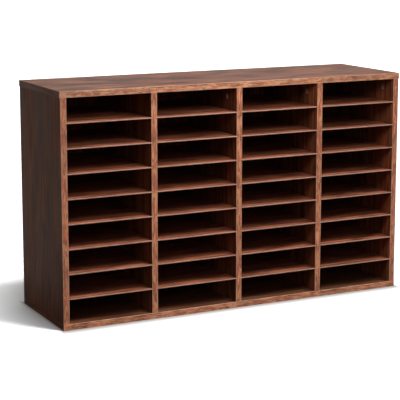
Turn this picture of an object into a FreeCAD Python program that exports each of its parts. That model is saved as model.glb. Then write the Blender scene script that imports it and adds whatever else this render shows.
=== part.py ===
import FreeCAD, Part
import math
import os
from FreeCAD import Vector

# Pigeonhole mail sorter: a case of four columns, with nine compartments in each column.
#
# Seven boards make the case: a top and a bottom that run over the ends of five uprights, which
# are two sides and three dividers. Cam locks and dowels hold the uprights to the top, where a
# screw head would show, and screws from below hold them to the bottom. A thin back panel, nailed
# over the boards' rear edges, keeps the case square. The uprights have grooves from front to
# rear in their inner faces, and a thin shelf slides in each pair of grooves.
#
# Millimetres, +Z up, the open front towards -Y, +X to the right seen from the front. The origin
# is on the surface that the case stands on, under the middle of the case's overall box.

# ---- driving dimensions ----------------------------------------------------------------------

# Grid of compartments
COLUMN_COUNT = 4
ROW_COUNT = 9
BAY_WIDTH = 228.5            # clear width of a column, for 8.5 inch wide paper
SHELF_PITCH = 63.5           # from one shelf to the next
END_OPENING_HEIGHT = 62.25   # clear height of the top and the bottom compartment

# Boards of the case
BOARD_THICKNESS = 16.0
BOARD_DEPTH = 294.0          # front to rear, without the edge band
TOP_OVERHANG = 1.5           # top board past the sides; the bottom board ends flush with them

# Edge bands glued to the boards' visible edges
BAND_THICKNESS = 0.8
BAND_CHAMFER = 0.4           # on the long outer edges of the front bands

# Shelves and their grooves
SHELF_THICKNESS = 3.0
SHELF_CHAMFER = 0.5          # on both edges of a shelf's front
GROOVE_DEPTH = 3.0
SHELF_SIDE_PLAY = 0.5        # from a shelf's end to the floor of its groove
SHELF_TOP_PLAY = 0.4         # from a shelf's upper face to the groove's upper wall
SHELF_REAR_PLAY = 0.5        # from a shelf's rear edge to the back panel

# Back panel and its nails
BACK_THICKNESS = 3.0
BACK_INSET = 2.0             # from the case's outer faces to the back panel's edge
NAIL_DIAMETER = 1.4
NAIL_LENGTH = 18.0           # under the head
NAIL_HEAD_DIAMETER = 3.4
NAIL_HEAD_HEIGHT = 0.6
NAIL_SPACING = 200.0         # largest distance between two nails in a row

# Places of the fasteners that join the uprights to the top and the bottom
FASTENER_FROM_EDGE = 53.0    # cam locks and screws, from a board's front or rear edge
DOWEL_FROM_CAM = 32.0        # towards the middle of the depth
FACE_SKIN = 4.0              # board left over a blind hole in the top board

# Cam locks, in the inner faces of the uprights
CAM_DIAMETER = 15.0
CAM_FROM_END = 27.0          # cam centre from the upright's upper end
CAM_SKIN = 3.6               # board left behind a cam's bore
CAM_BORE_PLAY = 0.2          # between the cam and the wall or the floor of its bore
CAM_RECESS = 0.2             # from the upright's face down to the cam's face
CAM_DRIVE_LENGTH = 9.0       # cross recess for the screwdriver
CAM_DRIVE_WIDTH = 1.6
CAM_DRIVE_DEPTH = 3.0

# Cam bolts, screwed into the top board
BOLT_SHANK_DIAMETER = 6.0
BOLT_NECK_DIAMETER = 4.0
BOLT_HEAD_DIAMETER = 7.0
BOLT_HEAD_LENGTH = 3.0
BOLT_PLAY = 0.3              # between the bolt and the cam or the hole that it passes
BOLT_END_PLAY = 1.0          # between the bolt's end and the floor of its hole

# Dowels between the top board and the uprights
DOWEL_DIAMETER = 8.0
DOWEL_LENGTH = 30.0
DOWEL_SIDE_PLAY = 0.05       # between the dowel and the wall of its hole
DOWEL_END_PLAY = 1.0         # between the dowel's end and the floor of its hole

# Screws from below through the bottom board
SCREW_HEAD_DIAMETER = 10.0
SCREW_HEAD_HEIGHT = 3.0
SCREW_HEAD_RECESS = 0.4      # from the underside of the case up to the head
SCREW_COLLAR_DIAMETER = 7.0  # plain part, through the bottom board
SCREW_CORE_DIAMETER = 5.0    # under the thread, in the upright
SCREW_CORE_LENGTH = 34.0
SCREW_PLAY = 0.2             # round the head and the collar
SCREW_END_PLAY = 2.0         # between the screw's end and the floor of its hole

# Pins that no one sees, and their holes, are drawn with flats in place of a round
PIN_SIDES = 8

# ---- places worked out from them -------------------------------------------------------------

UPRIGHT_COUNT = COLUMN_COUNT + 1
SHELF_COUNT = ROW_COUNT - 1
UPRIGHT_PITCH = BAY_WIDTH + BOARD_THICKNESS
UPRIGHT_HEIGHT = 2 * END_OPENING_HEIGHT + (SHELF_COUNT - 1) * SHELF_PITCH + SHELF_THICKNESS
CASE_HEIGHT = UPRIGHT_HEIGHT + 2 * BOARD_THICKNESS
CASE_DEPTH = BAND_THICKNESS + BOARD_DEPTH + BACK_THICKNESS + NAIL_HEAD_HEIGHT

# +X ends of the two boards that cross the uprights; their -X ends mirror them
BOTTOM_END = (COLUMN_COUNT * UPRIGHT_PITCH + BOARD_THICKNESS) / 2
TOP_END = BOTTOM_END + TOP_OVERHANG
FRONT = -CASE_DEPTH / 2
BOARD_FRONT = FRONT + BAND_THICKNESS
BOARD_REAR = BOARD_FRONT + BOARD_DEPTH
BACK_REAR = BOARD_REAR + BACK_THICKNESS
UPRIGHT_BOTTOM = BOARD_THICKNESS
UPRIGHT_TOP = UPRIGHT_BOTTOM + UPRIGHT_HEIGHT
GROOVE_HEIGHT = SHELF_THICKNESS + SHELF_TOP_PLAY

CAM_HEIGHT = BOARD_THICKNESS - CAM_SKIN - CAM_BORE_PLAY - CAM_RECESS
FACE_HOLE_DEPTH = BOARD_THICKNESS - FACE_SKIN
DOWEL_IN_FACE = FACE_HOLE_DEPTH - DOWEL_END_PLAY
BOLT_IN_FACE = FACE_HOLE_DEPTH - BOLT_END_PLAY
DOWEL_HOLE_DIAMETER = DOWEL_DIAMETER + 2 * DOWEL_SIDE_PLAY

# Y of the fasteners, front and rear
FASTENER_LINES = (BOARD_FRONT + FASTENER_FROM_EDGE, BOARD_REAR - FASTENER_FROM_EDGE)
DOWEL_LINES = (FASTENER_LINES[0] + DOWEL_FROM_CAM, FASTENER_LINES[1] - DOWEL_FROM_CAM)

ALONG_X = Vector(1, 0, 0)
ALONG_Y = Vector(0, 1, 0)
ALONG_Z = Vector(0, 0, 1)
DOWN = ALONG_Z * -1
OVERCUT = 1.0                # how far a cutting tool runs past the face that it enters by
TOUCHING = 1e-6


def upright_left(index):
    """X of an upright's left face; upright 0 is the left side, the last one the right side."""
    return index * UPRIGHT_PITCH - BOTTOM_END


def upright_middle(index):
    """X of the middle of an upright's thickness."""
    return upright_left(index) + BOARD_THICKNESS / 2


def grooved_faces(index):
    """The faces of an upright that carry shelves: -1 is its left face and +1 its right one."""
    faces = []
    if index > 0:
        faces.append(-1)
    if index < UPRIGHT_COUNT - 1:
        faces.append(1)
    return faces


def cam_face(index):
    """The face with the cam locks: it looks towards the middle of the case."""
    return 1 if 2 * index < UPRIGHT_COUNT - 1 else -1


def shelf_bottom(row):
    """Z of a shelf's underside; row 1 is the highest shelf."""
    return UPRIGHT_TOP - END_OPENING_HEIGHT - SHELF_THICKNESS - (row - 1) * SHELF_PITCH


# ---- simple solids ---------------------------------------------------------------------------

def block(x_limits, y_limits, z_limits):
    """A block between two coordinates on each axis."""
    limits = (x_limits, y_limits, z_limits)
    size = [high - low for low, high in limits]
    corner = Vector(*[low for low, high in limits])
    return Part.makeBox(size[0], size[1], size[2], corner)


def rod(diameter, start, direction, length):
    """A round rod from a point, along a direction."""
    return Part.makeCylinder(diameter / 2, length, start, direction)


def pin(diameter, start, direction, length):
    """A rod with flats; diameter is measured across them."""
    radius = diameter / 2 / math.cos(math.pi / PIN_SIDES)
    turn = 2 * math.pi / PIN_SIDES
    angles = [(side + 0.5) * turn for side in range(PIN_SIDES)]
    corners = [Vector(radius * math.cos(angle), radius * math.sin(angle), 0) for angle in angles]
    prism = Part.Face(Part.makePolygon(corners + corners[:1])).extrude(ALONG_Z * length)
    prism.Placement = FreeCAD.Placement(start, FreeCAD.Rotation(ALONG_Z, direction))
    return prism


def stepped_pin(start, direction, sections):
    """A rod with flats whose (diameter, length) sections follow each other."""
    pieces = []
    reached = 0
    for diameter, length in sections:
        pieces.append(pin(diameter, start + direction * reached, direction, length))
        reached += length
    return pieces[0].fuse(pieces[1:])


def front_edges(solid, direction):
    """The edges of a blank that lie in its front face and run along a direction."""
    found = []
    for edge in solid.Edges:
        along = edge.tangentAt(edge.FirstParameter)
        in_front = all(abs(vertex.Y - solid.BoundBox.YMin) < TOUCHING for vertex in edge.Vertexes)
        if in_front and abs(along.dot(direction)) > 1 - TOUCHING:
            found.append(edge)
    return found


# ---- holes and grooves -----------------------------------------------------------------------

def grooves(index):
    """The grooves of an upright, as tools that also run through its edge band."""
    tools = []
    y_limits = (FRONT - OVERCUT, BOARD_REAR + OVERCUT)
    for side in grooved_faces(index):
        face = upright_middle(index) + side * BOARD_THICKNESS / 2
        x_limits = sorted((face - side * GROOVE_DEPTH, face + side * OVERCUT))
        for row in range(1, SHELF_COUNT + 1):
            low = shelf_bottom(row)
            tools.append(block(x_limits, y_limits, (low, low + GROOVE_HEIGHT)))
    return tools


def cam_bores(index):
    """The blind bores for an upright's cams, with the hole that each bolt comes in by."""
    tools = []
    side = cam_face(index)
    middle = upright_middle(index)
    face = middle + side * BOARD_THICKNESS / 2
    bore_diameter = CAM_DIAMETER + 2 * CAM_BORE_PLAY
    bore_depth = BOARD_THICKNESS - CAM_SKIN
    passage = BOLT_HEAD_DIAMETER + 2 * BOLT_PLAY
    for y in FASTENER_LINES:
        mouth = Vector(face + side * OVERCUT, y, UPRIGHT_TOP - CAM_FROM_END)
        tools.append(rod(bore_diameter, mouth, ALONG_X * -side, bore_depth + OVERCUT))
        entry = Vector(middle, y, UPRIGHT_TOP + OVERCUT)
        tools.append(pin(passage, entry, DOWN, CAM_FROM_END + OVERCUT))
    return tools


def end_holes(index):
    """The dowel holes in an upright's upper end and the screw holes in its lower end."""
    tools = []
    middle = upright_middle(index)
    dowel_depth = DOWEL_LENGTH - DOWEL_IN_FACE + DOWEL_END_PLAY
    screw_depth = SCREW_CORE_LENGTH + SCREW_END_PLAY
    for y in DOWEL_LINES:
        entry = Vector(middle, y, UPRIGHT_TOP + OVERCUT)
        tools.append(pin(DOWEL_HOLE_DIAMETER, entry, DOWN, dowel_depth + OVERCUT))
    for y in FASTENER_LINES:
        entry = Vector(middle, y, UPRIGHT_BOTTOM - OVERCUT)
        tools.append(pin(SCREW_CORE_DIAMETER, entry, ALONG_Z, screw_depth + OVERCUT))
    return tools


def top_board_holes():
    """The blind holes in the top board's underside, for the cam bolts and the dowels."""
    tools = []
    for index in range(UPRIGHT_COUNT):
        middle = upright_middle(index)
        for diameter, lines in ((BOLT_SHANK_DIAMETER, FASTENER_LINES),
                                (DOWEL_HOLE_DIAMETER, DOWEL_LINES)):
            for y in lines:
                entry = Vector(middle, y, UPRIGHT_TOP - OVERCUT)
                tools.append(pin(diameter, entry, ALONG_Z, FACE_HOLE_DEPTH + OVERCUT))
    return tools


def bottom_board_holes():
    """The through holes in the bottom board, with a counterbore for each screw's head."""
    tools = []
    collar_hole = SCREW_COLLAR_DIAMETER + 2 * SCREW_PLAY
    head_hole = SCREW_HEAD_DIAMETER + 2 * SCREW_PLAY
    head_depth = SCREW_HEAD_RECESS + SCREW_HEAD_HEIGHT
    for index in range(UPRIGHT_COUNT):
        for y in FASTENER_LINES:
            entry = Vector(upright_middle(index), y, -OVERCUT)
            tools.append(pin(collar_hole, entry, ALONG_Z, BOARD_THICKNESS + 2 * OVERCUT))
            tools.append(pin(head_hole, entry, ALONG_Z, head_depth + OVERCUT))
    return tools


def evenly_spaced(low, high, largest_step):
    """Coordinates from low to high, both included, no further apart than largest_step."""
    steps = math.ceil((high - low) / largest_step)
    return [low + (high - low) * step / steps for step in range(steps + 1)]


def nail_places():
    """X and Z of every nail: along the top and bottom boards, and up each upright."""
    places = []
    mid_board = BOARD_THICKNESS / 2
    for z in (mid_board, CASE_HEIGHT - mid_board):
        for x in evenly_spaced(upright_middle(0), upright_middle(UPRIGHT_COUNT - 1), NAIL_SPACING):
            places.append((x, z))
    heights = evenly_spaced(mid_board, CASE_HEIGHT - mid_board, NAIL_SPACING)
    for index in range(UPRIGHT_COUNT):
        for z in heights[1:-1]:
            places.append((upright_middle(index), z))
    return places


# ---- boards ----------------------------------------------------------------------------------

def upright_board(index):
    """A side or a divider: a board with grooves, and bored for its fasteners."""
    left = upright_left(index)
    board = block((left, left + BOARD_THICKNESS), (BOARD_FRONT, BOARD_REAR),
                  (UPRIGHT_BOTTOM, UPRIGHT_TOP))
    return board.cut(grooves(index) + cam_bores(index) + end_holes(index))


def cross_board(end, low, holes):
    """The top or the bottom board without its bands, from its +X end and its underside's Z."""
    core_end = end - BAND_THICKNESS
    board = block((-core_end, core_end), (BOARD_FRONT, BOARD_REAR), (low, low + BOARD_THICKNESS))
    return board.cut(holes)


def back_panel():
    """The thin sheet over the rear edges of all the boards."""
    side_edge = BOTTOM_END - BACK_INSET
    return block((-side_edge, side_edge), (BOARD_REAR, BACK_REAR),
                 (BACK_INSET, CASE_HEIGHT - BACK_INSET))


# ---- edge bands ------------------------------------------------------------------------------

def upright_band(index):
    """The band on an upright's front edge, cut through where the grooves run out."""
    left = upright_left(index)
    blank = block((left, left + BOARD_THICKNESS), (FRONT, BOARD_FRONT),
                  (UPRIGHT_BOTTOM, UPRIGHT_TOP))
    return blank.makeChamfer(BAND_CHAMFER, front_edges(blank, ALONG_Z)).cut(grooves(index))


def cross_band(end, low):
    """The band on the front edge of the top or the bottom board, from end to end."""
    blank = block((-end, end), (FRONT, BOARD_FRONT), (low, low + BOARD_THICKNESS))
    return blank.makeChamfer(BAND_CHAMFER, front_edges(blank, ALONG_X))


def end_bands():
    """The bands on both ends of the top and the bottom board, behind the front bands."""
    bands = []
    for end, low in ((BOTTOM_END, 0), (TOP_END, UPRIGHT_TOP)):
        z_limits = (low, low + BOARD_THICKNESS)
        for x_limits in ((-end, BAND_THICKNESS - end), (end - BAND_THICKNESS, end)):
            bands.append(block(x_limits, (BOARD_FRONT, BOARD_REAR), z_limits))
    return bands


# ---- shelves ---------------------------------------------------------------------------------

def shelf(column, row):
    """A shelf, resting on the lower walls of its two grooves, its front flush with the case."""
    reach = GROOVE_DEPTH - SHELF_SIDE_PLAY
    left_wall = upright_left(column - 1) + BOARD_THICKNESS
    x_limits = (left_wall - reach, left_wall + BAY_WIDTH + reach)
    low = shelf_bottom(row)
    plate = block(x_limits, (FRONT, BOARD_REAR - SHELF_REAR_PLAY), (low, low + SHELF_THICKNESS))
    return plate.makeChamfer(SHELF_CHAMFER, front_edges(plate, ALONG_X))


# ---- joints between the boards ---------------------------------------------------------------

def cam_lock(index, y):
    """A cam in its bore: a drum with a cross recess, and a pocket that holds the bolt's head."""
    side = cam_face(index)
    middle = upright_middle(index)
    face = middle + side * (BOARD_THICKNESS / 2 - CAM_RECESS)
    z = UPRIGHT_TOP - CAM_FROM_END
    drum = rod(CAM_DIAMETER, Vector(face, y, z), ALONG_X * -side, CAM_HEIGHT)

    half_width = CAM_DRIVE_WIDTH / 2
    half_length = CAM_DRIVE_LENGTH / 2
    drive_limits = sorted((face - side * CAM_DRIVE_DEPTH, face + side * OVERCUT))
    cross = [block(drive_limits, (y - half_width, y + half_width),
                   (z - half_length, z + half_length)),
             block(drive_limits, (y - half_length, y + half_length),
                   (z - half_width, z + half_width))]

    head_half = BOLT_HEAD_DIAMETER / 2 + BOLT_PLAY
    neck_half = BOLT_NECK_DIAMETER / 2 + BOLT_PLAY
    pocket_half = BOLT_HEAD_LENGTH / 2 + BOLT_PLAY
    pocket = block((middle - head_half, middle + head_half), (y - head_half, y + head_half),
                   (z - pocket_half, z + pocket_half))
    slot = block((middle - neck_half, middle + neck_half), (y - neck_half, y + neck_half),
                 (z, z + CAM_DIAMETER / 2 + OVERCUT))
    return drum.cut(cross + [pocket, slot])


def cam_bolt(index, y):
    """A cam bolt: a shank screwed into the top board, a neck, and the head in the cam."""
    start = Vector(upright_middle(index), y, UPRIGHT_TOP + BOLT_IN_FACE)
    shank_end = CAM_FROM_END - CAM_DIAMETER / 2 - BOLT_PLAY
    head_start = CAM_FROM_END - BOLT_HEAD_LENGTH / 2
    return stepped_pin(start, DOWN, [(BOLT_SHANK_DIAMETER, BOLT_IN_FACE + shank_end),
                                     (BOLT_NECK_DIAMETER, head_start - shank_end),
                                     (BOLT_HEAD_DIAMETER, BOLT_HEAD_LENGTH)])


def dowel(index, y):
    """A dowel, part in the top board and part in the upright."""
    start = Vector(upright_middle(index), y, UPRIGHT_TOP + DOWEL_IN_FACE)
    return pin(DOWEL_DIAMETER, start, DOWN, DOWEL_LENGTH)


def bottom_screw(index, y):
    """A screw through the bottom board: a sunk head, a plain collar and the core in the upright."""
    collar_length = BOARD_THICKNESS - SCREW_HEAD_RECESS - SCREW_HEAD_HEIGHT
    start = Vector(upright_middle(index), y, SCREW_HEAD_RECESS)
    return stepped_pin(start, ALONG_Z, [(SCREW_HEAD_DIAMETER, SCREW_HEAD_HEIGHT),
                                        (SCREW_COLLAR_DIAMETER, collar_length),
                                        (SCREW_CORE_DIAMETER, SCREW_CORE_LENGTH)])


def nail(x, z):
    """A nail driven through the back panel into a board's rear edge: a flat head and a shank."""
    start = Vector(x, BACK_REAR + NAIL_HEAD_HEIGHT, z)
    return stepped_pin(start, ALONG_Y * -1, [(NAIL_HEAD_DIAMETER, NAIL_HEAD_HEIGHT),
                                             (NAIL_DIAMETER, NAIL_LENGTH)])


def at_every_upright(make, lines):
    """One solid for each upright and each line of fasteners."""
    return [make(index, y) for index in range(UPRIGHT_COUNT) for y in lines]


# ---- the parts -------------------------------------------------------------------------------

def upright_name(index):
    """left_side, divider_1 and so on, and right_side."""
    if index == 0:
        return "left_side"
    if index == UPRIGHT_COUNT - 1:
        return "right_side"
    return f"divider_{index}"


def save(name, *solids):
    """Write one part: a single solid, or a group of separate like solids."""
    shape = solids[0] if len(solids) == 1 else Part.makeCompound(list(solids))
    shape.exportStep(f"parts/{name}.step")


os.makedirs("parts", exist_ok=True)

save("top_panel", cross_board(TOP_END, UPRIGHT_TOP, top_board_holes()))
save("bottom_panel", cross_board(BOTTOM_END, 0, bottom_board_holes()))
save("top_front_band", cross_band(TOP_END, UPRIGHT_TOP))
save("bottom_front_band", cross_band(BOTTOM_END, 0))
save("end_bands", *end_bands())

for upright in range(UPRIGHT_COUNT):
    save(f"{upright_name(upright)}_panel", upright_board(upright))
    save(f"{upright_name(upright)}_front_band", upright_band(upright))

for column in range(1, COLUMN_COUNT + 1):
    for row in range(1, SHELF_COUNT + 1):
        save(f"shelf_column_{column}_row_{row}", shelf(column, row))

save("back_panel", back_panel())
save("back_nails", *[nail(x, z) for x, z in nail_places()])
save("cam_locks", *at_every_upright(cam_lock, FASTENER_LINES))
save("cam_bolts", *at_every_upright(cam_bolt, FASTENER_LINES))
save("dowels", *at_every_upright(dowel, DOWEL_LINES))
save("bottom_screws", *at_every_upright(bottom_screw, FASTENER_LINES))
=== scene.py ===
"""Looks of the pigeonhole mail sorter: wood-look foil, edge bands, hardware, floor and light.

Every visible piece is a solid of the frame. This script gives each one its material, and adds
the floor, the lamps and the camera. Metres, +Z up, the open front towards -Y.
"""

import math

import bpy
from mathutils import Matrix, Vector


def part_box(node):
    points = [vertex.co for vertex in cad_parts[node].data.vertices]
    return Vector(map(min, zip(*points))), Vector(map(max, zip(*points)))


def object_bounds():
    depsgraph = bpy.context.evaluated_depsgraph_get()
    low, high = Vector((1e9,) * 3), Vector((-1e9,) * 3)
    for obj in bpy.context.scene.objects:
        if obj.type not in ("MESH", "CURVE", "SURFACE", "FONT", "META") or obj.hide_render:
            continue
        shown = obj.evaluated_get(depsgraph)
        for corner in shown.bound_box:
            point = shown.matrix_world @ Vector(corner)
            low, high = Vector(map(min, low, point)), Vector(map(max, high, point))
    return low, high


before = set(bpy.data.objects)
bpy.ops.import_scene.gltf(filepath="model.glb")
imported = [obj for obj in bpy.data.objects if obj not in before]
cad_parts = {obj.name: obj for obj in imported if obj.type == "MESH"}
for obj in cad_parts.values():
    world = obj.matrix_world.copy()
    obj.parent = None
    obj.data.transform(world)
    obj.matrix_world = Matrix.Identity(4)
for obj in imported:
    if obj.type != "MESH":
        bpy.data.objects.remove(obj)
cad_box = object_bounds()
scene = bpy.context.scene

MM = 0.001


def display(red, green, blue):
    """A linear colour from the 0 to 255 values that a screen shows."""
    linear = []
    for value in (red, green, blue):
        level = value / 255
        linear.append(level / 12.92 if level <= 0.04045 else ((level + 0.055) / 1.055) ** 2.4)
    return (*linear, 1.0)


def grey(level):
    """A linear grey."""
    return (level, level, level, 1.0)


# ---- camera ----------------------------------------------------------------------------------

CAMERA_PLACE = (-1.6908, -3.2847, 0.9953)
CAMERA_YAW = 26.678          # degrees from +Y towards +X
CAMERA_PITCH = 9.521         # degrees below the horizon
CAMERA_LENS = 124.124
CAMERA_SHIFT_Y = -0.1

# ---- lamps and world -------------------------------------------------------------------------

# The key sun stands to the right and throws the shadow on the floor at the left.
KEY_AZIMUTH = 40             # degrees from -Y towards +X
KEY_ELEVATION = 62
KEY_SIZE = 9                 # degrees across
KEY_STRENGTH = 2.7
KEY_COLOUR = (1.0, 0.985, 0.97)

# A softbox close in front lights the bands, the middle ones most, and reaches into the
# compartments.
SOFTBOX_PLACE = (-0.10, -0.72, 0.95)
SOFTBOX_AIM = (0.15, 0.0, 0.38)
SOFTBOX_SIZE = (0.3, 0.3)
SOFTBOX_POWER = 3.4
SOFTBOX_COLOUR = (1.0, 0.97, 0.93)

# The world's light grows from nothing at the horizon to this right overhead.
WORLD_OVERHEAD = 0.10
# Soft patches of light are added to it. Each has the direction in which it is seen from the
# sorter, the cosine of the angle from its middle to its edge, and its strength.
WORLD_PATCHES = (
    ((-0.62, -0.75, 0.20), 0.55, 0.42),    # low in front, at the left
    ((0.45, 0.90, 0.15), 0.20, 0.30),      # low behind, wide
    ((0.60, 1.00, 0.05), 0.75, 0.80),      # lower behind, narrow, for the back panel
)
WORLD_SEEN = 1.0             # what the camera and reflections see in place of that light

# ---- floor -----------------------------------------------------------------------------------

FLOOR_SIZE = 120.0
FLOOR_DIFFUSE = 0.95         # what the camera sees the floor give back of its light
FLOOR_BOUNCE = 0.04          # what it gives back to the sorter
# Painted light: an emission that only the camera and reflections see lifts the floor's shadow,
# little close by and more away from the sorter, so that the shadow fades.
FLOOR_GLOW = 0.09            # what the camera sees of it close by where no light falls
FLOOR_GLOW_AWAY = 0.65       # and away from the sorter
FLOOR_GLOW_START = 0.51      # metres from the sorter's middle to where the glow starts to grow
FLOOR_GLOW_END = 0.65        # and to where it reaches its full strength
# A painted contact shadow: the floor's colour is darkened close beside the sorter.
CONTACT_SHADE = 0.35         # share of the light that the floor shows right beside the sorter
CONTACT_REACH = (0.010, 0.032)    # metres along X and Y from there to where it shows all of it

# ---- wood-look foil --------------------------------------------------------------------------

# Dark, middle, red and olive tones of the print.
SIDE_TONES = (display(84, 51, 35), display(123, 78, 52),
              display(121, 68, 47), display(95, 70, 48))
DIVIDER_TONES = (display(82, 46, 31), display(127, 74, 49),
                 display(130, 65, 44), display(92, 62, 43))
# The right side's face towards the compartments: the divider foil painted lighter, painted light on
# the last compartment's right wall.
RIGHT_INNER_PAINTED_LIGHT_TONES = (display(98, 53, 35), display(142, 81, 54),
               display(146, 72, 50), display(110, 72, 50))
TOP_TONES = (display(70, 45, 35), display(136, 86, 61),
             display(136, 76, 55), display(88, 69, 53))
SHELF_TONES = (display(108, 58, 40), display(162, 97, 70),
               display(160, 86, 63), display(132, 88, 64))

# Length and width of the print's clouds, in metres.
PLAIN_CLOUD = (0.30, 0.045)
TOP_CLOUD = (0.15, 0.060)
UPRIGHT_CLOUD = (0.18, 0.065)
END_BAND_CLOUD = (0.12, 0.020)
SHELF_CLOUD = (0.10, 0.030)

# Length and width of its other features.
FIGURE_SIZE = (0.90, 0.080)
STREAK_SIZE = (0.20, 0.0050)
FINE_SIZE = (0.050, 0.0013)
CRACK_SIZE = (0.11, 0.0032)
PORE_SIZE = (0.016, 0.0007)
RINGS = 11                   # growth rings between the figure's lowest and highest value

# How the features darken or lighten the colour: the noise values between which one sets in, and
# the factors before and after.
RING_SHADE = (-1.0, 0.6, 0.76, 1.12)
STREAK_SHADE = (0.30, 0.70, 0.72, 1.26)
CRACK_SHADE = (0.60, 0.70, 1.0, 0.66)
FINE_SHADE = (0.30, 0.70, 0.90, 1.08)
SMUDGE_SHADE = (0.54, 0.74, 1.0, 0.62)
PORE_VALUES = (0.66, 0.76)
PORE_SHADE = 0.62

# ---- other surfaces --------------------------------------------------------------------------

# Edge bands: two mottled ground tones, the streaks and flecks on them, and the paler long sides,
# partly trimmed and worn and partly a painted highlight on the arrises.
BAND_TONES = (display(160, 89, 57), display(208, 143, 104))
BAND_STREAK = display(168, 85, 52)
BAND_FLECK = display(114, 56, 35)
BAND_WEAR_AND_HIGHLIGHT = display(206, 158, 134)
BAND_WEAR_AND_HIGHLIGHT_WIDTH = 1.6 * MM
# How the front bands differ from each other, as factors of red, green and blue: painted light and
# shade, the top and bottom bands painted lighter and the sides' and dividers' bands painted darker.
TOP_BAND_PAINTED_LIGHT = (0.95, 1.08, 1.17)
BOTTOM_BAND_PAINTED_LIGHT = (1.06, 1.07, 1.10)
SIDE_BAND_PAINTED_SHADE = (0.91, 0.84, 0.81)
DIVIDER_BAND_PAINTED_SHADE = (0.99, 0.95, 0.91)

# Dark and light tones of the rest.
FIBREBOARD_TONES = (display(112, 84, 60), display(158, 124, 92))
SHELF_EDGE_TONES = (display(158, 114, 98), display(204, 160, 142))
HARDBOARD_TONES = (display(96, 68, 49), display(142, 106, 79))
HARDBOARD_STRAND = display(70, 48, 35)
NAIL_TONES = (display(140, 140, 140), display(190, 190, 190))
CAM_TONES = (display(126, 100, 82), display(186, 158, 134))
PLATED_TONES = (display(160, 156, 146), display(206, 202, 190))
BEECH_TONES = (display(196, 160, 116), display(222, 190, 148))
BEECH_RAY = display(168, 124, 84)

# Specular levels. Reflections show the white floor and world, which would veil the dark faces that
# the camera sees at a low angle, so these have almost none.
TOP_SPECULAR = 0.04
BOTTOM_SPECULAR = 0.2
UPRIGHT_SPECULAR = 0.011
BAND_SPECULAR = 0.5
END_BAND_SPECULAR = 0.021
SHELF_SPECULAR = 0.2
HARDBOARD_SPECULAR = 0.1

# Each upright's tones towards the compartments, the right side's painted lighter as painted light,
# and which way along X its outer face looks.
UPRIGHTS = {"left_side": (DIVIDER_TONES, -1), "divider_1": (DIVIDER_TONES, 0),
            "divider_2": (DIVIDER_TONES, 0), "divider_3": (DIVIDER_TONES, 0),
            "right_side": (RIGHT_INNER_PAINTED_LIGHT_TONES, 1)}

# A board with its grain along X lies flat, and its thickness is along Z. One with its grain
# along Z stands, and its thickness is along X.
THICKNESS = {"X": "Z", "Z": "X"}

MOST = (0.3, 0.7)            # values that most of a noise lies between
FACING = (0.4, 0.6)          # a normal's part along an axis where facing it begins, and is full


# ---- building node trees ---------------------------------------------------------------------

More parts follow.
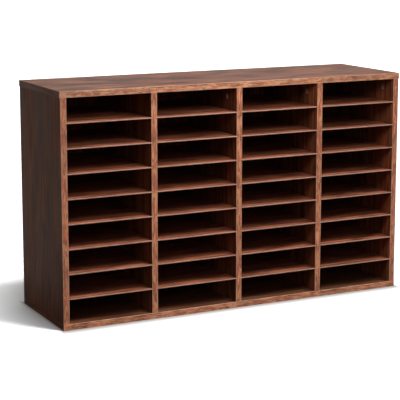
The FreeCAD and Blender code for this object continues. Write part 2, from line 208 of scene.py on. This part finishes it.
class Shading:
    """The node tree of a material or a world. Inputs are values or other nodes' outputs."""

    def __init__(self, owner):
        owner.use_nodes = True
        self.owner = owner
        self.tree = owner.node_tree
        self.tree.nodes.clear()

    def node(self, kind, inputs=None, **settings):
        """A new node. Its inputs are given by name or by number."""
        node = self.tree.nodes.new(kind)
        for key, value in settings.items():
            setattr(node, key, value)
        for key, value in (inputs or {}).items():
            if isinstance(value, bpy.types.NodeSocket):
                self.tree.links.new(value, node.inputs[key])
            else:
                node.inputs[key].default_value = value
        return node

    def math(self, operation, *values):
        return self.node("ShaderNodeMath", dict(enumerate(values)), operation=operation).outputs[0]

    def product(self, first, *others):
        """Numbers multiplied with each other."""
        for other in others:
            first = self.math("MULTIPLY", first, other)
        return first

    def remap(self, value, low, high, to_low=0.0, to_high=1.0, smooth=True):
        """To_low where a value is low or less, to_high where it is high or more."""
        node = self.node("ShaderNodeMapRange", {
            "Value": value, "From Min": low, "From Max": high, "To Min": to_low, "To Max": to_high,
        }, interpolation_type="SMOOTHSTEP" if smooth else "LINEAR")
        return node.outputs["Result"]

    def mix(self, factor, first, second, blend="MIX"):
        """Two colours mixed. The node has sockets of other types between the ones for colours."""
        return self.node("ShaderNodeMix", {0: factor, 6: first, 7: second},
                         data_type="RGBA", blend_type=blend).outputs[2]

    def scaled(self, colour, amount):
        """A colour made lighter or darker by a number that varies over the surface."""
        level = self.node("ShaderNodeCombineColor", dict.fromkeys(("Red", "Green", "Blue"), amount))
        return self.mix(1.0, colour, level.outputs[0], "MULTIPLY")

    def part(self, vector, axis):
        """A vector's part along an axis."""
        return self.node("ShaderNodeSeparateXYZ", {0: vector}).outputs[axis]

    def place(self, offset=(0, 0, 0)):
        """The point on the object, in metres, shifted so that two materials don't repeat."""
        point = self.node("ShaderNodeTexCoord").outputs["Object"]
        return self.node("ShaderNodeVectorMath", {0: point, 1: offset}, operation="ADD").outputs[0]

    def noise(self, where, size, detail=2.0, roughness=0.5, distortion=0.0):
        """Noise whose features measure size along X, Y and Z, in metres."""
        stretch = self.node("ShaderNodeVectorMath", {0: where, 1: [1 / length for length in size]},
                            operation="MULTIPLY")
        return self.node("ShaderNodeTexNoise", {
            "Vector": stretch.outputs[0], "Scale": 1.0, "Detail": detail,
            "Roughness": roughness, "Distortion": distortion}).outputs["Fac"]

    def grained(self, where, grain, length, width, *settings):
        """Noise whose features have their length along the grain axis."""
        size = [width, width, width]
        size["XYZ".index(grain)] = length
        return self.noise(where, size, *settings)

    def normal(self, axis):
        """The part along an axis of the direction that the surface faces."""
        return self.part(self.node("ShaderNodeNewGeometry").outputs["True Normal"], axis)

    def facing(self, axis, low=FACING[0], high=FACING[1]):
        """1 where the surface faces along an axis, either way, and 0 elsewhere."""
        return self.remap(self.math("ABSOLUTE", self.normal(axis)), low, high)

    def finish(self, colour, roughness, relief, depth, specular=0.5, metallic=0.0):
        """The whole material, its relief as deep as given, in metres."""
        bump = self.node("ShaderNodeBump", {"Height": relief, "Strength": 1.0, "Distance": depth})
        surface = self.node("ShaderNodeBsdfPrincipled", {
            "Base Color": colour, "Roughness": roughness, "Normal": bump.outputs["Normal"],
            "Specular IOR Level": specular, "Metallic": metallic})
        self.node("ShaderNodeOutputMaterial", {"Surface": surface.outputs[0]})
        return self.owner


def new_material(name):
    """A material's tree, still empty."""
    return Shading(bpy.data.materials.new(name))


# ---- materials -------------------------------------------------------------------------------

def wood_print(shading, where, grain, tones, cloud):
    """Rustic wood: clouds, tints, growth rings, smudges, streaks, fine lines, cracks and pores.

    Returns the colour, the streaks and the relief.
    """
    dark, middle, red, olive = tones
    length, width = cloud

    def feature(*size_and_settings):
        return shading.grained(where, grain, *size_and_settings)

    patches = feature(length, width, 3.0, 0.55, 0.4)
    red_patches = feature(0.9 * length, 0.8 * width, 2.0, 0.5, 0.4)
    olive_patches = feature(0.7 * length, 0.7 * width, 2.0, 0.5, 0.4)
    smudges = feature(0.9 * length, 0.25 * width, 3.0, 0.6, 0.3)
    figure = feature(*FIGURE_SIZE, 1.5, 0.3)
    streaks = feature(*STREAK_SIZE, 4.0, 0.6)
    fine_lines = feature(*FINE_SIZE, 2.0, 0.5)
    cracks = feature(*CRACK_SIZE, 2.0, 0.45, 0.2)
    pores = shading.remap(feature(*PORE_SIZE, 1.0, 0.4), *PORE_VALUES)
    rings = shading.math("SINE", shading.math("MULTIPLY", figure, RINGS * 2 * math.pi))

    colour = shading.mix(shading.remap(patches, 0.34, 0.64), dark, middle)
    colour = shading.mix(shading.remap(red_patches, 0.46, 0.68, 0.0, 0.65), colour, red)
    colour = shading.mix(shading.remap(olive_patches, 0.48, 0.68, 0.0, 0.50), colour, olive)
    shade = shading.product(
        shading.remap(rings, *RING_SHADE), shading.remap(streaks, *STREAK_SHADE),
        shading.remap(cracks, *CRACK_SHADE), shading.remap(fine_lines, *FINE_SHADE),
        shading.remap(smudges, *SMUDGE_SHADE),
        shading.remap(pores, 0.0, 1.0, 1.0, PORE_SHADE, smooth=False))
    relief = shading.math("SUBTRACT", shading.math("MULTIPLY", streaks, 0.5), pores)
    return shading.scaled(colour, shade), streaks, relief


def fibreboard_colour(shading, where):
    """The cut edge of a fibreboard, with its fine felt-like speckle."""
    speckle = shading.noise(where, (0.0012, 0.0012, 0.0006), 3.0, 0.6)
    return shading.mix(shading.remap(speckle, 0.35, 0.65), *FIBREBOARD_TONES)


def foil(name, grain, seed, specular, cloud=PLAIN_CLOUD, tones=SIDE_TONES, outer=0):
    """A board's material: printed foil on its two faces, bare fibreboard where it is cut.

    Outer is the way along X, -1 or 1, that a face on the case's outside looks, and 0 if the
    board has none. That face has the sides' tones.
    """
    shading = new_material(name)
    where = shading.place(seed)
    if outer:
        outside = shading.remap(shading.normal("X"), *(outer * part for part in FACING))
        tones = [shading.mix(outside, *pair) for pair in zip(tones, SIDE_TONES)]
    colour, streaks, relief = wood_print(shading, where, grain, tones, cloud)
    colour = shading.mix(shading.facing(THICKNESS[grain]), fibreboard_colour(shading, where),
                         colour)
    roughness = shading.remap(streaks, *MOST, 0.40, 0.56)
    return shading.finish(colour, roughness, relief, 0.05 * MM, specular)


def trimmed_and_highlit_sides(shading, node, axis):
    """1 close to the two long sides of a band, measured along an axis, and 0 inside them."""
    index = "XYZ".index(axis)
    low, high = (corner[index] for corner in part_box(node))
    along = shading.part(shading.place(), axis)
    inside = shading.math("MINIMUM", shading.math("SUBTRACT", along, low),
                          shading.math("SUBTRACT", high, along))
    return shading.remap(inside, 0.5 * BAND_WEAR_AND_HIGHLIGHT_WIDTH, BAND_WEAR_AND_HIGHLIGHT_WIDTH, 1.0, 0.0)


def edge_band(name, node, grain, seed, painted_light_and_shade):
    """The warmer, lighter strip on a board's front edge, paler along its sides, partly where they
    are trimmed and partly as a painted highlight on the arrises, and made lighter or darker band by
    band by painted light and shade.
    """
    shading = new_material(name)
    where = shading.place(seed)
    broad = shading.grained(where, grain, 0.085, 0.05, 2.0, 0.55)
    mottle = shading.grained(where, grain, 0.034, 0.0075, 3.0, 0.6, 0.6)
    streaks = shading.grained(where, grain, 0.050, 0.0022, 3.0, 0.6)
    flecks = shading.grained(where, grain, 0.020, 0.0042, 2.0, 0.55, 0.5)
    fine_lines = shading.grained(where, grain, 0.010, 0.0006, 2.0, 0.5)

    colour = shading.mix(shading.remap(mottle, 0.38, 0.62), *BAND_TONES)
    colour = shading.mix(shading.remap(streaks, 0.55, 0.70, 0.0, 0.7), colour, BAND_STREAK)
    colour = shading.mix(shading.remap(flecks, 0.52, 0.66, 0.0, 0.85), colour, BAND_FLECK)
    shade = shading.product(shading.remap(broad, 0.34, 0.66, 0.78, 1.14),
                            shading.remap(fine_lines, *MOST, 0.92, 1.06))
    colour = shading.scaled(colour, shade)
    # Painted light and shade: the whole band made lighter or darker by its factors.
    colour = shading.mix(1.0, colour, (*painted_light_and_shade, 1.0), "MULTIPLY")
    # Paler long sides: partly trimmed, worn edge and partly a painted highlight on the arrises.
    wear_and_highlight = shading.product(trimmed_and_highlit_sides(shading, node, THICKNESS[grain]),
                           shading.remap(mottle, 0.35, 0.60, 0.35, 0.75))
    colour = shading.mix(wear_and_highlight, colour, BAND_WEAR_AND_HIGHLIGHT)
    roughness = shading.remap(streaks, *MOST, 0.40, 0.55)
    return shading.finish(colour, roughness, flecks, 0.04 * MM, BAND_SPECULAR)


def end_band(name, seed):
    """The dark strip on the two ends of the top and bottom boards."""
    shading = new_material(name)
    colour, streaks, relief = wood_print(shading, shading.place(seed), "Y", SIDE_TONES,
                                         END_BAND_CLOUD)
    roughness = shading.remap(streaks, *MOST, 0.42, 0.56)
    return shading.finish(colour, roughness, relief, 0.04 * MM, END_BAND_SPECULAR)


def shelf_board(name, seed):
    """A thin shelf: reddish wood-look faces and a paler, sanded front edge."""
    shading = new_material(name)
    where = shading.place(seed)
    colour, streaks, relief = wood_print(shading, where, "X", SHELF_TONES, SHELF_CLOUD)
    sanded = shading.grained(where, "X", 0.020, 0.0012, 3.0, 0.6)
    edge_colour = shading.mix(shading.remap(sanded, *MOST), *SHELF_EDGE_TONES)
    colour = shading.mix(shading.facing("Z", 0.8, 0.9), edge_colour, colour)
    roughness = shading.remap(streaks, *MOST, 0.42, 0.58)
    return shading.finish(colour, roughness, relief, 0.05 * MM, SHELF_SPECULAR)


def back_board(name, seed):
    """Hardboard: dark foil towards the compartments, and plain brown fibre behind."""
    shading = new_material(name)
    where = shading.place(seed)
    foil_colour = wood_print(shading, where, "Z", DIVIDER_TONES, PLAIN_CLOUD)[0]
    fibres = shading.noise(where, (0.0022, 0.0022, 0.0035), 4.0, 0.65)
    clouds = shading.noise(where, (0.16, 0.16, 0.22), 4.0, 0.55, 0.6)
    roller_marks = shading.noise(where, (0.9, 0.9, 0.012), 3.0, 0.6)
    strands = shading.noise(where, (0.0100, 0.0100, 0.0026), 2.0, 0.5, 1.2)

    colour = shading.mix(shading.remap(fibres, *MOST), *HARDBOARD_TONES)
    colour = shading.mix(shading.remap(strands, 0.60, 0.70, 0.0, 0.55), colour, HARDBOARD_STRAND)
    colour = shading.scaled(colour, shading.product(
        shading.remap(clouds, 0.32, 0.68, 0.76, 1.18),
        shading.remap(roller_marks, *MOST, 0.93, 1.06)))
    inside = shading.remap(shading.normal("Y"), *(-part for part in FACING))
    colour = shading.mix(inside, colour, foil_colour)
    roughness = shading.remap(fibres, *MOST, 0.55, 0.75)
    return shading.finish(colour, roughness, fibres, 0.08 * MM, HARDBOARD_SPECULAR)


def metal(name, tones, roughness, cloud_size, metallic=1.0):
    """Plated or cast metal with a cloudy, faintly pitted surface."""
    shading = new_material(name)
    where = shading.place()
    clouds = shading.noise(where, (cloud_size,) * 3, 3.0, 0.6)
    pits = shading.noise(where, (0.0006,) * 3, 2.0, 0.6)
    colour = shading.mix(shading.remap(clouds, *MOST), *tones)
    gloss = shading.remap(clouds, *MOST, roughness - 0.08, roughness + 0.10)
    return shading.finish(colour, gloss, pits, 0.03 * MM, metallic=metallic)


def beech(name):
    """Plain turned beech, with the short dark flecks of its rays."""
    shading = new_material(name)
    where = shading.place()
    streaks = shading.grained(where, "Z", 0.02, 0.0008, 3.0, 0.6)
    rays = shading.grained(where, "Z", 0.002, 0.0004, 1.0, 0.5)
    colour = shading.mix(shading.remap(streaks, *MOST), *BEECH_TONES)
    colour = shading.mix(shading.remap(rays, 0.64, 0.72), colour, BEECH_RAY)
    return shading.finish(colour, 0.6, streaks, 0.03 * MM)


def dress(node, material):
    """Give a solid of the frame its one material."""
    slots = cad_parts[node].data.materials
    slots.clear()
    slots.append(material)


def dress_all():
    """Give every solid its material. A seed is an offset in the pattern, so no two boards match."""
    dress("top_panel", foil("top_foil", "X", (2.3, 0.9, 0.0), TOP_SPECULAR, TOP_CLOUD, TOP_TONES))
    dress("bottom_panel", foil("bottom_foil", "X", (2.1, 0.4, 1.0), BOTTOM_SPECULAR))
    for board, seed, painted_light_and_shade in (("top", 3.0, TOP_BAND_PAINTED_LIGHT), ("bottom", 6.0, BOTTOM_BAND_PAINTED_LIGHT)):
        band = board + "_front_band"
        dress(band, edge_band(board + "_edge_band", band, "X", (0.0, 0.0, seed), painted_light_and_shade))
    dress("end_bands", end_band("end_edge_band", (5.0, 0.0, 0.0)))
    for number, (upright, (tones, outer)) in enumerate(UPRIGHTS.items()):
        dress(upright + "_panel", foil(upright + "_foil", "Z", (number, 0.7 * number, 2.0),
                                       UPRIGHT_SPECULAR, UPRIGHT_CLOUD, tones, outer))
        band = upright + "_front_band"
        dress(band, edge_band(upright + "_edge_band", band, "Z", (0.5 * number, 2.0, number),
                              SIDE_BAND_PAINTED_SHADE if outer else DIVIDER_BAND_PAINTED_SHADE))

    shelf_faces = shelf_board("shelf_faces", (0.0, 5.0, 0.0))
    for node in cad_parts:
        if node.startswith("shelf_column_"):
            dress(node, shelf_faces)

    dress("back_panel", back_board("back_hardboard", (0.0, 8.0, 0.0)))
    dress("back_nails", metal("nail_steel", NAIL_TONES, 0.35, 0.004))
    dress("cam_locks", metal("cam_zinc", CAM_TONES, 0.6, 0.005, metallic=0.25))
    dress("cam_bolts", metal("bolt_zinc_plate", PLATED_TONES, 0.3, 0.006))
    dress("bottom_screws", metal("screw_zinc_plate", PLATED_TONES, 0.3, 0.006))
    dress("dowels", beech("dowel_beech"))


# ---- floor, world, lamps and camera ----------------------------------------------------------

def seen_directly(shading):
    """1 for rays from the camera or mirrored to it, 0 for rays that carry light."""
    path = shading.node("ShaderNodeLightPath").outputs
    mirrored = shading.math("MAXIMUM", path["Is Glossy Ray"], path["Is Transmission Ray"])
    return shading.math("MAXIMUM", path["Is Camera Ray"], mirrored)


def add_floor():
    """A large pale floor that is white where it's lit and keeps the sorter's shadow, with a painted
    contact shadow close beside the sorter and painted light that fades the shadow away from it.
    """
    bpy.ops.mesh.primitive_plane_add(size=FLOOR_SIZE)
    plane = bpy.context.object
    plane.name = "studio_floor"
    shading = new_material("studio_floor")
    seen = seen_directly(shading)
    where = shading.place()

    beside = shading.math("MAXIMUM", *(
        shading.remap(shading.math("ABSOLUTE", shading.part(where, axis)), edge, edge + reach,
                      smooth=False)
        for axis, edge, reach in zip("XY", cad_box[1], CONTACT_REACH)))
    # Painted contact shadow: the floor's colour darker right beside the sorter.
    contact = shading.remap(beside, 0.0, 1.0, CONTACT_SHADE, 1.0)
    colour = shading.mix(seen, grey(FLOOR_BOUNCE), shading.scaled(grey(FLOOR_DIFFUSE), contact))
    lit = shading.node("ShaderNodeBsdfDiffuse", {"Color": colour})

    # Painted light that fades the shadow: the glow grows with the distance from the sorter's
    # middle.
    distance = shading.node("ShaderNodeVectorMath", {0: where}, operation="LENGTH")
    away = shading.remap(distance.outputs["Value"], FLOOR_GLOW_START, FLOOR_GLOW_END, FLOOR_GLOW,
                         FLOOR_GLOW_AWAY, smooth=False)
    glow = shading.node("ShaderNodeEmission", {"Color": grey(1.0),
                                               "Strength": shading.product(seen, away)})
    both = shading.node("ShaderNodeAddShader", {0: lit.outputs[0], 1: glow.outputs[0]})
    shading.node("ShaderNodeOutputMaterial", {"Surface": both.outputs[0]})
    plane.data.materials.append(shading.owner)


def set_world():
    """Faint light, mostly from above, and a white background for the camera."""
    shading = Shading(bpy.data.worlds.new("studio_world"))
    direction = shading.node("ShaderNodeTexCoord").outputs["Generated"]
    light = shading.remap(shading.part(direction, "Z"), 0.0, 1.0, 0.0, WORLD_OVERHEAD)
    for towards, edge, strength in WORLD_PATCHES:
        aligned = shading.node("ShaderNodeVectorMath", {
            0: direction, 1: Vector(towards).normalized()}, operation="DOT_PRODUCT")
        patch = shading.remap(aligned.outputs["Value"], edge, 1.0, 0.0, strength)
        light = shading.math("ADD", light, patch)
    strength = shading.remap(seen_directly(shading), 0.0, 1.0, light, WORLD_SEEN, smooth=False)
    background = shading.node("ShaderNodeBackground", {"Color": grey(1.0), "Strength": strength})
    shading.node("ShaderNodeOutputWorld", {"Surface": background.outputs[0]})
    scene.world = shading.owner


def put_in_scene(name, data, place, rotation):
    """The new object of a lamp or camera."""
    holder = bpy.data.objects.new(name, data)
    holder.location = place
    holder.rotation_euler = rotation
    scene.collection.objects.link(holder)
    return holder


def add_lamp(name, kind, place, aim, **settings):
    """A lamp that looks at a point."""
    light = bpy.data.lights.new(name, kind)
    for key, value in settings.items():
        setattr(light, key, value)
    towards = Vector(aim) - Vector(place)
    put_in_scene(name, light, place, towards.to_track_quat("-Z", "Y").to_euler())


def add_lamps():
    """The key sun and the softbox."""
    azimuth, elevation = math.radians(KEY_AZIMUTH), math.radians(KEY_ELEVATION)
    key_place = (math.sin(azimuth) * math.cos(elevation),
                 -math.cos(azimuth) * math.cos(elevation), math.sin(elevation))
    add_lamp("key_sun", "SUN", key_place, (0, 0, 0), energy=KEY_STRENGTH, color=KEY_COLOUR,
             angle=math.radians(KEY_SIZE))
    add_lamp("softbox", "AREA", SOFTBOX_PLACE, SOFTBOX_AIM, energy=SOFTBOX_POWER,
             color=SOFTBOX_COLOUR, shape="RECTANGLE", size=SOFTBOX_SIZE[0],
             size_y=SOFTBOX_SIZE[1])


def add_camera():
    """The camera at the photo's viewing angle."""
    lens = bpy.data.cameras.new("camera")
    lens.lens = CAMERA_LENS
    lens.shift_y = CAMERA_SHIFT_Y
    lens.clip_end = 2 * FLOOR_SIZE
    scene.camera = put_in_scene("camera", lens, CAMERA_PLACE, (
        math.radians(90 - CAMERA_PITCH), 0.0, math.radians(-CAMERA_YAW)))


dress_all()
add_floor()
set_world()
add_lamps()
add_camera()
scene.view_settings.view_transform = "Standard"
